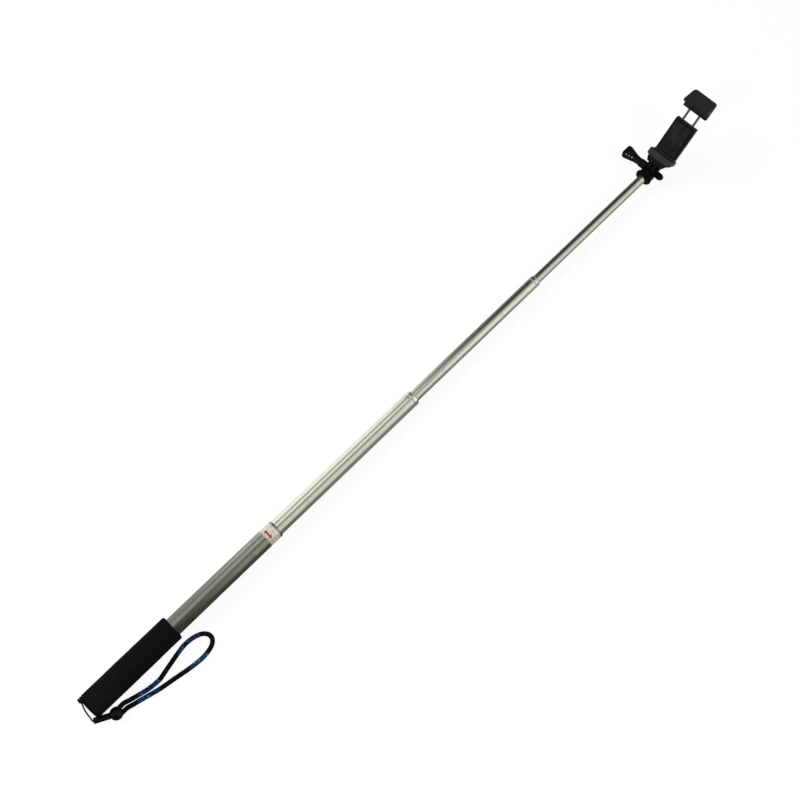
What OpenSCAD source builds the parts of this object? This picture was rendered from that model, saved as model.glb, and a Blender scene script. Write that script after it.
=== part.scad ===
// Hand-held telescoping monopod with a tilting spring clip and a wrist lanyard, in millimetres.
// X runs along the pole from grip to head, Y along the pivot bolt towards its handle, Z up.
// X = 0 is where the outer tube leaves the grip. The pole lies on a surface at z = -grip_d / 2.

/* [Grip] */
// Outer diameter of the foam grip
grip_d = 28; // [26:0.5:34]
// Length of the foam grip
grip_len = 108; // [90:1:130]
// Rounding of the grip's ends
grip_round = 2; // [1:0.5:3]
// Thickness of the butt cap's flange
cap_t = 1.4; // [1.2:0.2:5]
// Length of the butt cap's plug in the tube
cap_plug = 8; // [6:1:14]

/* [Tubes] */
// Outer diameter of tube 1, in the grip
tube_1_d = 20; // [18:0.2:22]
// Step in diameter from tube 1 to tube 2
step_2 = 2.6; // [2.4:0.1:4]
// Step in diameter from tube 2 to tube 3
step_3 = 4.4; // [2.4:0.1:5]
// Step in diameter from tube 3 to tube 4
step_4 = 2.6; // [2.4:0.1:3]
// Wall of every tube
wall = 0.8; // [0.6:0.1:0.9]
// Length of tube 1 that shows
show_1 = 142.5; // [120:0.5:160]
// Length of tube 2 that shows when drawn out
show_2 = 204; // [160:1:206]
// Length of tube 3 that shows when drawn out
show_3 = 198; // [150:1:202]
// Length of tube 4 that shows when drawn out
show_4 = 187; // [140:1:196]
// Length of the rolled-in mouths
roll = 2.4; // [1.6:0.2:3]
// Depth of the roll groove behind a mouth
groove = 0.35; // [0.2:0.05:0.45]

/* [Locks] */
// Length of tube 2 that stays inside when drawn out
keep_2 = 34; // [30:1:40]
// Length of tube 3 that stays inside when drawn out
keep_3 = 32; // [28:1:38]
// Length of tube 4 that stays inside when drawn out
keep_4 = 28; // [26:1:36]
// Length of a lock stud's plug in its tube
plug_len = 10; // [6:1:14]
// Length of a split lock sleeve
sleeve_len = 12; // [10:1:14]
// Width of the slits in a lock sleeve
slit = 1.2; // [0.8:0.1:1.6]
// Length of a mouth bush
bush_len = 12; // [8:1:14]
// Length of the label band
label_len = 14; // [8:1:20]
// Thickness of the label band
label_t = 0.2; // [0.1:0.05:0.4]

/* [Head] */
// Diameter of the lock disc
disc_d = 20.4; // [17:0.2:24]
// Thickness of the lock disc
disc_t = 4; // [3.5:0.5:8]
// Diameter of the quarter-inch stud
stud_d = 6.35; // [6:0.05:6.5]
// Radius of the prongs round the pivot
prong_r = 7.5; // [7:0.25:9]
// Thickness of one prong
prong_t = 3; // [2.5:0.1:3.5]
// Length of the fork's base below its slots
fork_base = 3.5; // [3:0.5:8]
// Diameter of the pivot bolt
bolt_d = 5; // [4:0.5:6]
// Width of the pivot nut across its flats
nut_af = 8; // [7.5:0.5:10]
// Reach of the handle from the pole's axis
handle_reach = 39.5; // [32:0.5:46]
// Width of the handle's flared end
handle_w = 14.5; // [11:0.5:18]
// Thickness of the handle
handle_t = 7; // [6:0.5:8]

/* [Clip] */
// Tilt of the clip from the pole's axis
clip_tilt = 50; // [0:1:105]
// Width of the jaws
jaw_w = 32; // [29:0.5:40]
// Opening between the jaw pads
opening = 66.5; // [62:0.5:76]
// Depth of the jaws from back pad to lip
slot = 9; // [8:0.5:12]
// Distance of the jaws' middle behind the pivot
set_back = 5.9; // [4:0.1:8]
// Height of a lip over its pad
lip = 1.5; // [1.25:0.25:3]
// Thickness of the lips
lip_t = 2.4; // [2:0.1:4]
// Thickness of the rubber pads
pad_t = 1; // [0.8:0.1:1.6]
// Diameter of the guide rods
rod_d = 3; // [2.5:0.25:4]
// Distance between the guide rods
rod_gap = 14.4; // [12:0.2:16]
// Length of the housing above the lower jaw
house_len = 44.5; // [42:0.5:46]

/* [Lanyard] */
// Diameter of the braided cord
cord_d = 5; // [3:0.25:5.25]
// Diameter of the thin string
string_d = 1.6; // [1.2:0.1:2]
// Diameter of the bead
bead_d = 13.5; // [11:0.5:14.5]
// Diameter of the ferrule
ferrule_d = 6.4; // [5:0.2:6.6]

/* [Fits] */
// Running clearance on a radius
run = 0.05; // [0.02:0.01:0.08]
// Clearance between pieces that pass each other
gap = 0.3; // [0.2:0.05:0.4]
// Clearance at each face of a prong
prong_gap = 0.1; // [0.05:0.05:0.2]

/* [Hidden] */
$fn = 64;

// Tubes inside each other
tube_2_d = tube_1_d - step_2;
tube_3_d = tube_2_d - step_3;
tube_4_d = tube_3_d - step_4;

// Places along the pole
butt_x = -grip_len - cap_t;
mouth_1 = show_1;
mouth_2 = mouth_1 + show_2;
mouth_3 = mouth_2 + show_3;
tip_x = mouth_3 + show_4;
end_2 = mouth_1 - keep_2;
end_3 = mouth_2 - keep_3;
end_4 = mouth_3 - keep_4;
label_x = mouth_1 - roll - label_len;
label_r = tube_1_d / 2 - 0.2;
seat_r = tube_1_d / 2 - 0.3;
fork_x = tip_x + disc_t;
slot_x = fork_x + fork_base;
stud_in = fork_base - 1;
hinge_x = slot_x + prong_r + 2 * gap;

// Lock studs: flange, sleeve and cone below the end of a tube
flange_t = 1;
cone_len = 4.5;
cone_out = 1.6;
stud_share = 0.2;
lock_low = flange_t + gap + sleeve_len + flange_t;

// Fork and foot share one row of prongs along Y
prong_step = 2 * (prong_t + prong_gap);
fork_half = prong_step + prong_t / 2;
foot_half = prong_step / 2 + prong_t / 2;
boss_r = bolt_d / 2 + 1.4;
boss_h = 2.4;
nut_y = -fork_half - boss_h;
nut_h = 4;
hub_y = fork_half + 2 * prong_gap;
hub_h = 8;
bolt_in = hub_h - 0.6;

// Clip, along u from the pivot, y and w towards the front
neck_u = prong_r + 2 * gap;
neck_w = 4.6;
base_u = neck_u + 6.4;
shelf_u = base_u + 5.3;
pad_u = shelf_u + pad_t;
lip_u = pad_u + lip;
top_u = pad_u + opening;
slot_w = slot / 2 - set_back;
front_w = slot_w + lip_t;
rest_w = slot_w - slot;
back_w = rest_w - pad_t;
inner_w = back_w - 1.4;
cover_t = 1.2;
rod_room = rod_d + 2.6;
cover_w = inner_w - rod_room;
rear_w = cover_w - cover_t;
rod_w = inner_w - rod_room / 2;
house_top = shelf_u + house_len;
wall_u = house_top - 6;
room_low = shelf_u - 1.3;
house_half = 14;
room_half = house_half - 2.2;
screw_u = [base_u + 2, wall_u + 3];
screw_y = [-house_half + 2, house_half - 2];
rod_low = shelf_u + 17;
collar_t = 3;
collar_d = rod_d + 2;
rod_high = top_u + pad_t + 6;
jaw_low = top_u - 8.5;
hood_u = top_u + pad_t + 1;
hood_back_u = hood_u + 11.5;
hood_w = rear_w + 1;

// Lanyard: round points of the routes, on the surface under the pole
floor_z = -grip_d / 2;
lug_x = butt_x - 2.1;
lug_y = grip_d / 2 - 3.6;
lug_r = 1.8;
lug_w = 2.4;
knot_len = 2;
bead_at = [-grip_len + 13.2, -0.95 - grip_d / 2 - bead_d / 2, floor_z + bead_d / 2];
lie = floor_z + cord_d / 2;
in_z = bead_at[2] - 2;
strand_gap = 0.8;
strand_a = bead_at[1] + (cord_d + strand_gap) / 2;
strand_b = bead_at[1] - (cord_d + strand_gap) / 2;
cord_in = bead_at[0] + 1.8;
function lay(x, y, up = 0) = [x - grip_len, y - grip_d / 2, lie + up];
cord_route = [
    [cord_in, strand_a, in_z], [cord_in + 4, strand_a, in_z - 0.3], lay(24, -4.6, 1.4),
    lay(29, -5.9, 0.4), lay(36, -7.8), lay(45, -10.2), lay(54, -11.9), lay(64, -12.4), lay(71, -11),
    lay(80, -9), lay(94, -6), lay(103, -4.6), lay(111, -4.8), lay(118.2, -6.4), lay(124, -9.2),
    lay(127.8, -13.8), lay(128, -19), lay(124.8, -23.2), lay(119.6, -25.6), lay(113, -26.8),
    lay(105, -27), lay(91, -25.4), lay(75, -22.4), lay(59, -19.6), lay(46, -16.2), lay(36, -13.5),
    lay(29, -11.8, 0.4), lay(24, -10.6, 1.4),
    [cord_in + 4, strand_b, in_z - 0.3], [cord_in, strand_b, in_z]
];
ferrule_z = floor_z + ferrule_d / 2;
ferrule_y = -sqrt(pow(grip_d / 2 + ferrule_d / 2, 2) - pow(ferrule_z, 2));
ferrule_a = [butt_x - 5.8, ferrule_y + 2.9, ferrule_z];
ferrule_b = bead_at + [-3.6, 1.9, -1.8];
string_in = ferrule_a + 0.16 * (ferrule_b - ferrule_a);
string_route = [
    [lug_x, lug_y + 2.6, 0], [lug_x, lug_y, 0], [lug_x - 0.3, lug_y - 3, -0.3], [lug_x - 1.6, 4, -1.6],
    [lug_x - 2.8, 0.4, -3.2], [lug_x - 3.5, -3.2, -5.4], [lug_x - 3.9, -6.6, -8],
    ferrule_a - 0.05 * (ferrule_b - ferrule_a), string_in
];

black = [0.09, 0.09, 0.1];
foam = [0.05, 0.05, 0.05];
rubber = [0.14, 0.14, 0.15];
metal = [0.52, 0.52, 0.47];
steel = [0.72, 0.72, 0.73];
nylon = [0.85, 0.85, 0.8];
blue = [0.06, 0.12, 0.28];

// Shared shapes
module along_x(x) {
    translate([x, 0, 0])
        rotate([0, 90, 0])
            children();
}

module along_y(x, y) {
    translate([x, y, 0])
        rotate([-90, 0, 0])
            children();
}

module at_clip() {
    translate([hinge_x, 0, 0])
        rotate([0, -clip_tilt, 0])
            children();
}

module between(a, b, r) {
    v = b - a;
    translate(a)
        rotate([0, acos(v[2] / norm(v)), atan2(v[1], v[0])])
            cylinder(h = norm(v), r = r);
}

// Ring from r0 to r1 over a length h, with its outer edges rounded by e
module ring(r0, r1, h, e) {
    rotate_extrude()
        polygon([
            [r0, 0], [r1 - e, 0], [r1 - 0.3 * e, 0.3 * e], [r1, e],
            [r1, h - e], [r1 - 0.3 * e, h - 0.3 * e], [r1 - e, h], [r0, h]
        ]);
}

function unit(v) = v / norm(v);
function curve(a, b, c, d, t) =
    0.5 * (2 * b + (c - a) * t + (2 * a - 5 * b + 4 * c - d) * t * t + (3 * b - a - 3 * c + d) * t * t * t);
function smooth(p, n) = let (e = len(p) - 1) concat(
    [for (i = [0:e - 1]) for (k = [0:n - 1])
        curve(p[max(i - 1, 0)], p[i], p[i + 1], p[min(i + 2, e)], k / n)],
    [p[e]]
);
function heading(q, i) = unit(q[min(i + 1, len(q) - 1)] - q[max(i - 1, 0)]);
function hoop(q, i, r, s, ref) =
    let (t = heading(q, i), a = unit(cross(t, ref)), b = cross(a, t))
        [for (k = [0:s - 1]) q[i] + r * cos(360 * k / s) * a + r * sin(360 * k / s) * b];

// Tube of radius r and s sides along the points q; ref is a direction that it never takes
module sweep(q, r, s, ref = [0, 0, 1]) {
    e = len(q) - 1;
    polyhedron(
        points = [for (i = [0:e]) each hoop(q, i, r, s, ref)],
        faces = concat(
            [[for (k = [0:s - 1]) k]],
            [for (i = [0:e - 1]) for (k = [0:s - 1]) each [
                [i * s + k, (i + 1) * s + k, (i + 1) * s + (k + 1) % s],
                [i * s + k, (i + 1) * s + (k + 1) % s, i * s + (k + 1) % s]
            ]],
            [[for (k = [s - 1:-1:0]) e * s + k]]
        )
    );
}

// Tube of diameter d from x0 to x1, its mouth rolled in to the radius m, with a groove of depth g
module pole_tube(d, x0, x1, m, g) {
    r = d / 2;
    h = x1 - x0;
    w = min(wall, r - m);
    along_x(x0)
        rotate_extrude()
            polygon([
                [r - wall, 0], [r, 0],
                [r, h - roll - 5.2], [r - g, h - roll - 4.6],
                [r - g, h - roll - 4], [r, h - roll - 3.4],
                [r, h - roll], [r - 0.25 * w, h - 0.45 * roll],
                [m + 0.5 * w, h - 0.1 * roll], [m + 0.2 * w, h],
                [m, h - 0.1 * roll], [m, h - 0.3 * roll], [r - wall, h - roll]
            ]);
}

// Band of length h round the pole at x, from the radius r0 to r1
module band(x, h, r0, r1) {
    along_x(x)
        difference() {
            cylinder(h = h, r = r1);
            translate([0, 0, -1])
                cylinder(h = h + 2, r = r0);
        }
}

// Guide bush behind a mouth at x, between an outer tube a and an inner tube b
module mouth_bush(a, b, x) {
    band(x - roll - gap - bush_len, bush_len, b / 2 + run, a / 2 - wall);
}

// Stud in the lower end, at x, of a sliding tube of diameter d
module lock_stud(d, x) {
    r = stud_share * d;
    along_x(x)
        union() {
            cylinder(h = plug_len, r = d / 2 - wall);
            translate([0, 0, -flange_t])
                cylinder(h = flange_t, r = d / 2);
            translate([0, 0, -lock_low])
                cylinder(h = lock_low, r = r);
            translate([0, 0, -lock_low])
                cylinder(h = cone_len, r1 = r + cone_out, r2 = r);
        }
}

// Split sleeve round the stud of the tube d, inside the outer tube a
module lock_sleeve(a, d, x) {
    r = stud_share * d + run;
    low = -flange_t - gap - sleeve_len;
    along_x(x)
        difference() {
            translate([0, 0, low])
                cylinder(h = sleeve_len, r = a / 2 - wall - run);
            translate([0, 0, low - 1])
                cylinder(h = sleeve_len + 2, r = r);
            translate([0, 0, -lock_low])
                cylinder(h = cone_len, r1 = r + cone_out + gap, r2 = r);
            for (turn = [0, 90])
                rotate([0, 0, turn])
                    translate([-a, -slit / 2, low - 1])
                        cube([2 * a, slit, sleeve_len * 0.6 + 1]);
        }
}

// Row of prongs of radius prong_r at the places ys, from the pivot to the plane u
module prongs(ys, u) {
    for (y = ys)
        translate([0, y, 0]) {
            rotate([90, 0, 0])
                cylinder(h = prong_t, r = prong_r, center = true);
            translate([min(0, u), -prong_t / 2, -prong_r])
                cube([abs(u), prong_t, 2 * prong_r]);
        }
}

// Handle end
module foam_grip() {
    color(foam)
        along_x(-grip_len)
            ring(seat_r, grip_d / 2, grip_len, grip_round);
}

module butt_cap() {
    color(black)
        difference() {
            union() {
                along_x(butt_x)
                    ring(0, grip_d / 2 - 0.2, cap_t, 0.4);
                along_x(-grip_len)
                    cylinder(h = cap_plug, r = tube_1_d / 2 - wall);
                translate([lug_x, lug_y - lug_w / 2, -lug_r])
                    cube([butt_x - lug_x + 1, lug_w, 2 * lug_r]);
                along_y(lug_x, lug_y - lug_w / 2)
                    cylinder(h = lug_w, r = lug_r);
            }
            along_y(lug_x, lug_y - lug_w)
                cylinder(h = 2 * lug_w, r = string_d / 2 + gap);
        }
}

module string_knot() {
    color(black)
        along_y(lug_x, lug_y + lug_w / 2)
            ring(string_d / 2 + run, lug_r - 0.2, knot_len, 0.5);
}

module lanyard_string() {
    color(black)
        sweep(smooth(string_route, 3), string_d / 2, 8);
}

module lanyard_ferrule() {
    color(black)
        difference() {
            between(ferrule_a, ferrule_b, ferrule_d / 2);
            between(ferrule_a - 0.2 * (ferrule_b - ferrule_a), string_in, string_d / 2 + run);
        }
}

module cord_bead() {
    color(black)
        difference() {
            translate(bead_at)
                sphere(d = bead_d);
            between(ferrule_a, ferrule_b, ferrule_d / 2);
            for (y = [strand_a, strand_b])
                translate([cord_in, y, in_z])
                    rotate([0, 90, 0])
                        cylinder(h = bead_d, r = cord_d / 2 + run);
        }
}

module lanyard_cord() {
    color(blue)
        sweep(smooth(cord_route, 3), cord_d / 2, 10);
}

// Telescoping pole
module tube_1() {
    color(metal)
        difference() {
            pole_tube(tube_1_d, -grip_len, mouth_1, tube_2_d / 2 + gap, 0);
            band(label_x, label_len, label_r - label_t, tube_1_d / 2 + 1);
            band(-grip_len - 1, grip_len + 1, seat_r, tube_1_d / 2 + 1);
        }
}

module tube_2() {
    color(metal)
        pole_tube(tube_2_d, end_2, mouth_2, tube_3_d / 2 + gap, groove);
}

module tube_3() {
    color(metal)
        pole_tube(tube_3_d, end_3, mouth_3, tube_4_d / 2 + gap, groove);
}

module tube_4() {
    color(metal)
        along_x(end_4)
            difference() {
                cylinder(h = tip_x - end_4, r = tube_4_d / 2);
                translate([0, 0, -1])
                    cylinder(h = tip_x - end_4 + 2, r = tube_4_d / 2 - wall);
            }
}

module lock_label() {
    color(nylon)
        band(label_x, label_len, label_r - label_t, label_r);
}

module mouth_bush_1() {
    color(nylon)
        mouth_bush(tube_1_d, tube_2_d, mouth_1);
}

module mouth_bush_2() {
    color(nylon)
        mouth_bush(tube_2_d, tube_3_d, mouth_2);
}

module mouth_bush_3() {
    color(nylon)
        mouth_bush(tube_3_d, tube_4_d, mouth_3);
}

module lock_stud_2() {
    color(black)
        lock_stud(tube_2_d, end_2);
}

module lock_stud_3() {
    color(black)
        lock_stud(tube_3_d, end_3);
}

module lock_stud_4() {
    color(black)
        lock_stud(tube_4_d, end_4);
}

module lock_sleeve_2() {
    color(nylon)
        lock_sleeve(tube_1_d, tube_2_d, end_2);
}

module lock_sleeve_3() {
    color(nylon)
        lock_sleeve(tube_2_d, tube_3_d, end_3);
}

module lock_sleeve_4() {
    color(nylon)
        lock_sleeve(tube_3_d, tube_4_d, end_4);
}

// Head
module head_plug() {
    color(steel)
        union() {
            along_x(tip_x - 14)
                cylinder(h = 14, r = tube_4_d / 2 - wall);
            along_x(tip_x - 1)
                cylinder(h = 1 + disc_t + stud_in, r = stud_d / 2);
        }
}

module lock_disc() {
    color(black)
        along_x(tip_x)
            ring(stud_d / 2, disc_d / 2, disc_t, 1.5);
}

module head_fork() {
    color(black)
        difference() {
            union() {
                along_x(fork_x)
                    cylinder(h = fork_base, r = prong_r + 1);
                translate([hinge_x, 0, 0])
                    prongs([-prong_step, 0, prong_step], slot_x - hinge_x - 1);
                along_y(hinge_x, -fork_half - boss_h)
                    cylinder(h = boss_h + 1, r = boss_r);
            }
            along_x(fork_x - 1)
                cylinder(h = 1 + stud_in, r = stud_d / 2);
            along_y(hinge_x, -fork_half - boss_h - 1)
                cylinder(h = 3 * fork_half, r = bolt_d / 2 + run);
        }
}

module pivot_nut() {
    color(steel)
        difference() {
            union() {
                along_y(hinge_x, nut_y - nut_h)
                    linear_extrude(height = nut_h)
                        circle(r = nut_af / 2 / cos(30), $fn = 6);
                translate([hinge_x, nut_y - nut_h, 0])
                    sphere(r = nut_af / 2 - 0.4);
            }
            along_y(hinge_x, nut_y - nut_h)
                cylinder(h = nut_h + 4, r = bolt_d / 2 + run);
        }
}

module thumb_bolt() {
    color(steel)
        along_y(hinge_x, nut_y - nut_h + gap)
            cylinder(h = hub_y + bolt_in - nut_y + nut_h - gap, r = bolt_d / 2);
}

module thumb_handle() {
    h = handle_w / 2;
    low = hub_y + 5;
    color(black)
        difference() {
            union() {
                along_y(hinge_x, hub_y)
                    cylinder(h = hub_h, r = handle_t / 2 + 1.6);
                translate([hinge_x, 0, -handle_t / 2])
                    linear_extrude(height = handle_t)
                        polygon([
                            [-3.6, low], [3.6, low], [3, low + 5], [3.6, low + 10],
                            [h, handle_reach - 4], [h - 0.4, handle_reach - 1.2],
                            [h - 2, handle_reach], [2 - h, handle_reach],
                            [0.4 - h, handle_reach - 1.2], [-h, handle_reach - 4],
                            [-3.6, low + 10], [-3, low + 5]
                        ]);
            }
            along_y(hinge_x, hub_y - 1)
                cylinder(h = 1 + bolt_in, r = bolt_d / 2);
            for (side = [-1, 1])
                translate([hinge_x, 0, side * (handle_t / 2 - 0.5) - 1])
                    linear_extrude(height = 2)
                        polygon([
                            [-2, low + 11], [2, low + 11],
                            [h - 2.4, handle_reach - 3.6], [2.4 - h, handle_reach - 3.6]
                        ]);
        }
}

// Spring clip
module neck() {
    half = jaw_w / 2;
    intersection() {
        translate([0, 0, cover_w])
            linear_extrude(height = neck_w - cover_w)
                polygon([
                    [neck_u, 6.4 - half], [neck_u + 4.6, 3.6 - half],
                    [base_u - 0.6, 3.2 - half], [base_u + 0.6, -half],
                    [shelf_u - 1, -half], [shelf_u - 1, half],
                    [base_u + 0.6, half], [base_u - 0.6, half - 3.2],
                    [neck_u + 4.6, half - 3.6], [neck_u, half - 6.4]
                ]);
        translate([0, half, 0])
            rotate([90, 0, 0])
                linear_extrude(height = jaw_w)
                    polygon([
                        [neck_u, -neck_w], [neck_u, neck_w], [base_u - 3, neck_w],
                        [base_u + 1, front_w], [shelf_u - 1, front_w], [shelf_u - 1, cover_w],
                        [base_u, cover_w], [neck_u + 1.4, -neck_w - 1]
                    ]);
    }
}

module clip_base() {
    half = jaw_w / 2;
    color(black)
        at_clip()
            difference() {
                union() {
                    prongs([-prong_step / 2, prong_step / 2], neck_u + 1);
                    neck();
                    translate([0, half, 0])
                        rotate([90, 0, 0])
                            linear_extrude(height = jaw_w)
                                polygon([
                                    [base_u + 1, cover_w], [base_u + 1, front_w], [lip_u - 0.7, front_w],
                                    [lip_u, front_w - 0.7], [lip_u, slot_w], [shelf_u, slot_w],
                                    [shelf_u, cover_w]
                                ]);
                    translate([base_u, -house_half, cover_w])
                        cube([house_top - base_u, 2 * house_half, back_w - cover_w]);
                }
                translate([room_low, -room_half, cover_w - 1])
                    cube([wall_u - room_low, 2 * room_half, rod_room + 1]);
                rotate([90, 0, 0])
                    cylinder(h = 4 * foot_half, r = bolt_d / 2 + run, center = true);
                for (y = [-rod_gap / 2, rod_gap / 2])
                    translate([wall_u - 1, y, rod_w])
                        rotate([0, 90, 0])
                            cylinder(h = 20, r = rod_d / 2 + run);
                for (u = screw_u, y = screw_y)
                    translate([u, y, cover_w - 1])
                        cylinder(h = 5, r = 1);
            }
}

module clip_cover() {
    color(black)
        at_clip()
            difference() {
                translate([base_u, -house_half, rear_w])
                    cube([house_top - base_u, 2 * house_half, cover_t]);
                for (u = screw_u, y = screw_y)
                    translate([u, y, rear_w - 1])
                        cylinder(h = 5, r = 1);
            }
}

module cover_screws() {
    color(steel)
        at_clip()
            for (u = screw_u, y = screw_y)
                translate([u, y, 0])
                    union() {
                        translate([0, 0, rear_w - 0.9])
                            cylinder(h = 0.9, r = 1.8);
                        translate([0, 0, rear_w - 0.5])
                            cylinder(h = 0.5 + cover_t + 4, r = 1);
                    }
}

module lower_pad() {
    color(rubber)
        at_clip()
            translate([shelf_u, -jaw_w / 2 + 3, rest_w])
                cube([pad_t, jaw_w - 6, slot]);
}

module back_pad() {
    color(rubber)
        at_clip()
            difference() {
                translate([pad_u + 3, -11, back_w])
                    cube([house_top - pad_u - 6, 22, pad_t]);
                for (k = [1:5])
                    translate([pad_u + 3 + k * (house_top - pad_u - 6) / 6 - 0.6, -12, back_w + 0.6])
                        cube([1.2, 24, pad_t]);
            }
}

module jaw_springs() {
    turns = 7;
    wire = 0.3;
    mid = rod_d / 2 + 0.75;
    low = rod_low + collar_t + wire;
    rise = wall_u - wire - low;
    color(steel)
        at_clip()
            for (y = [-rod_gap / 2, rod_gap / 2])
                sweep(
                    [for (k = [0:turns * 12]) [
                        low + rise * k / (turns * 12), y + mid * cos(30 * k), rod_w + mid * sin(30 * k)
                    ]],
                    wire, 6, [1, 0, 0]
                );
}

module upper_jaw() {
    half = jaw_w / 2;
    r = 2.6;
    color(black)
        at_clip()
            difference() {
                intersection() {
                    translate([0, half, 0])
                        rotate([90, 0, 0])
                            linear_extrude(height = jaw_w)
                                polygon([
                                    [jaw_low, hood_w], [jaw_low, back_w], [top_u + pad_t, back_w],
                                    [top_u + pad_t, slot_w], [top_u - lip, slot_w],
                                    [top_u - lip, front_w - 0.7], [top_u - lip + 0.7, front_w],
                                    [hood_u - 0.8, front_w], [hood_u, front_w - 1],
                                    [hood_back_u - 0.6, hood_w + 1.2], [hood_back_u - 1.6, hood_w]
                                ]);
                    union() {
                        translate([jaw_low - 1, -half, hood_w - 1])
                            cube([hood_back_u - r - jaw_low, jaw_w, front_w - hood_w + 2]);
                        translate([jaw_low - 1, r - half, hood_w - 1])
                            cube([hood_back_u - jaw_low + 1, jaw_w - 2 * r, front_w - hood_w + 2]);
                        for (y = [r - half, half - r])
                            translate([hood_back_u - r - 1, y, hood_w - 1])
                                cylinder(h = front_w - hood_w + 2, r = r);
                    }
                }
                for (y = [-rod_gap / 2, rod_gap / 2])
                    translate([jaw_low - 1, y, rod_w])
                        rotate([0, 90, 0])
                            cylinder(h = rod_high - jaw_low + 1, r = rod_d / 2);
            }
}

module upper_pad() {
    color(rubber)
        at_clip()
            translate([top_u, -jaw_w / 2 + 3, rest_w])
                cube([pad_t, jaw_w - 6, slot - 0.2]);
}

module guide_rods() {
    color(steel)
        at_clip()
            for (y = [-rod_gap / 2, rod_gap / 2])
                translate([rod_low, y, rod_w])
                    rotate([0, 90, 0])
                        cylinder(h = rod_high - rod_low, r = rod_d / 2);
}

module rod_collars() {
    color(steel)
        at_clip()
            for (y = [-rod_gap / 2, rod_gap / 2])
                translate([rod_low, y, rod_w])
                    rotate([0, 90, 0])
                        difference() {
                            cylinder(h = collar_t, r = collar_d / 2);
                            translate([0, 0, -1])
                                cylinder(h = collar_t + 2, r = rod_d / 2);
                        }
}

foam_grip();
butt_cap();
string_knot();
lanyard_string();
lanyard_ferrule();
cord_bead();
lanyard_cord();
tube_1();
lock_label();
mouth_bush_1();
lock_sleeve_2();
lock_stud_2();
tube_2();
mouth_bush_2();
lock_sleeve_3();
lock_stud_3();
tube_3();
mouth_bush_3();
lock_sleeve_4();
lock_stud_4();
tube_4();
head_plug();
lock_disc();
head_fork();
pivot_nut();
thumb_bolt();
thumb_handle();
clip_base();
clip_cover();
cover_screws();
lower_pad();
back_pad();
jaw_springs();
upper_jaw();
upper_pad();
guide_rods();
rod_collars();
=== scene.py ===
"""Hand-held telescoping monopod with a tilting spring clip and a wrist lanyard, on its frame."""
import math

import bmesh
import bpy
from mathutils import Matrix, Vector


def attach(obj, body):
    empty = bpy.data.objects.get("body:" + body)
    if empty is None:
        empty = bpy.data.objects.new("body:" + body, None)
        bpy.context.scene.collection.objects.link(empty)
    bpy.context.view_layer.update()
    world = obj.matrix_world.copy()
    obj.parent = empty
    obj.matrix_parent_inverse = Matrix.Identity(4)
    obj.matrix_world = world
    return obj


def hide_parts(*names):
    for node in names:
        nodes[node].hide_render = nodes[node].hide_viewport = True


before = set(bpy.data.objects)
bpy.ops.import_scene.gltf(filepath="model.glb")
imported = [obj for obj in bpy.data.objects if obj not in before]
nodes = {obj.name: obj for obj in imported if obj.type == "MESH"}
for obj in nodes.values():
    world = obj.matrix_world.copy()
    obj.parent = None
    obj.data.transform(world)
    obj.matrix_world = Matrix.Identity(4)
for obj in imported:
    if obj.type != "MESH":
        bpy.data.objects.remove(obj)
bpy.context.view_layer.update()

scene = bpy.context.scene

# Sizes that the pieces share with the frame, in metres
GRIP_LEN = 0.108
GRIP_R = 0.014
TUBE_R = 0.01
SEAT_R = 0.0097
FLOOR_Z = -GRIP_R
CORD_R = 0.0025
STRING_R = 0.0008
LABEL_X = (0.1261, 0.1401)
FILM_R = 0.0098
FILM_THICK = 0.0002
WALL = 0.0008
ROLL = 0.0024
TIP_X = 0.7315
HINGE_X = 0.7471
TILT = math.radians(50)
# Sides of the rings that make the tubes and the label round
TUBE_SIDES = 128


def linked(name, data):
    """A new object in the scene, for a mesh, a lamp or the camera."""
    made = bpy.data.objects.new(name, data)
    scene.collection.objects.link(made)
    return made


# Camera
def set_camera():
    """The photograph's view: a plain 50 mm lens, level, looking down at the pole as it lies."""
    right = Vector((0.6990, -0.7151, 0.0003))
    up = Vector((0.6660, 0.6511, 0.3640))
    back = Vector((-0.2605, -0.2542, 0.9314))
    place = Vector((0.0204, -0.2972, 1.1188))
    data = bpy.data.cameras.new("camera")
    data.lens = 50
    data.sensor_width = 36
    data.clip_start = 0.01
    data.clip_end = 30
    cam = linked("camera", data)
    cam.matrix_world = Matrix(
        [(right[i], up[i], back[i], place[i]) for i in range(3)] + [(0, 0, 0, 1)]
    )
    scene.camera = cam


set_camera()


# Shader nodes as expressions
class Sock:
    """A socket whose arithmetic adds Math nodes to its tree."""

    def __init__(self, shade, socket):
        self.shade = shade
        self.socket = socket

    def math(self, operation, *others):
        return self.shade.math(operation, self, *others)

    def __add__(self, other):
        return self.math("ADD", other)

    def __radd__(self, other):
        return self.shade.math("ADD", other, self)

    def __sub__(self, other):
        return self.math("SUBTRACT", other)

    def __rsub__(self, other):
        return self.shade.math("SUBTRACT", other, self)

    def __mul__(self, other):
        return self.math("MULTIPLY", other)

    def __rmul__(self, other):
        return self.shade.math("MULTIPLY", other, self)

    def __truediv__(self, other):
        return self.math("DIVIDE", other)

    def __gt__(self, other):
        return self.math("GREATER_THAN", other)

    def sin(self):
        return self.math("SINE")

    def floor(self):
        return self.math("FLOOR")

    def abs(self):
        return self.math("ABSOLUTE")

    def mod(self, other):
        return self.math("FLOORED_MODULO", other)

    def least(self, other):
        return self.math("MINIMUM", other)

    def most(self, other):
        return self.math("MAXIMUM", other)

    def band(self, low, high):
        """0 below low, 1 above high, smooth between."""
        settings = {"interpolation_type": "SMOOTHSTEP"}
        return self.shade.node("ShaderNodeMapRange", settings, {"Value": self, 1: low, 2: high})


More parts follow.
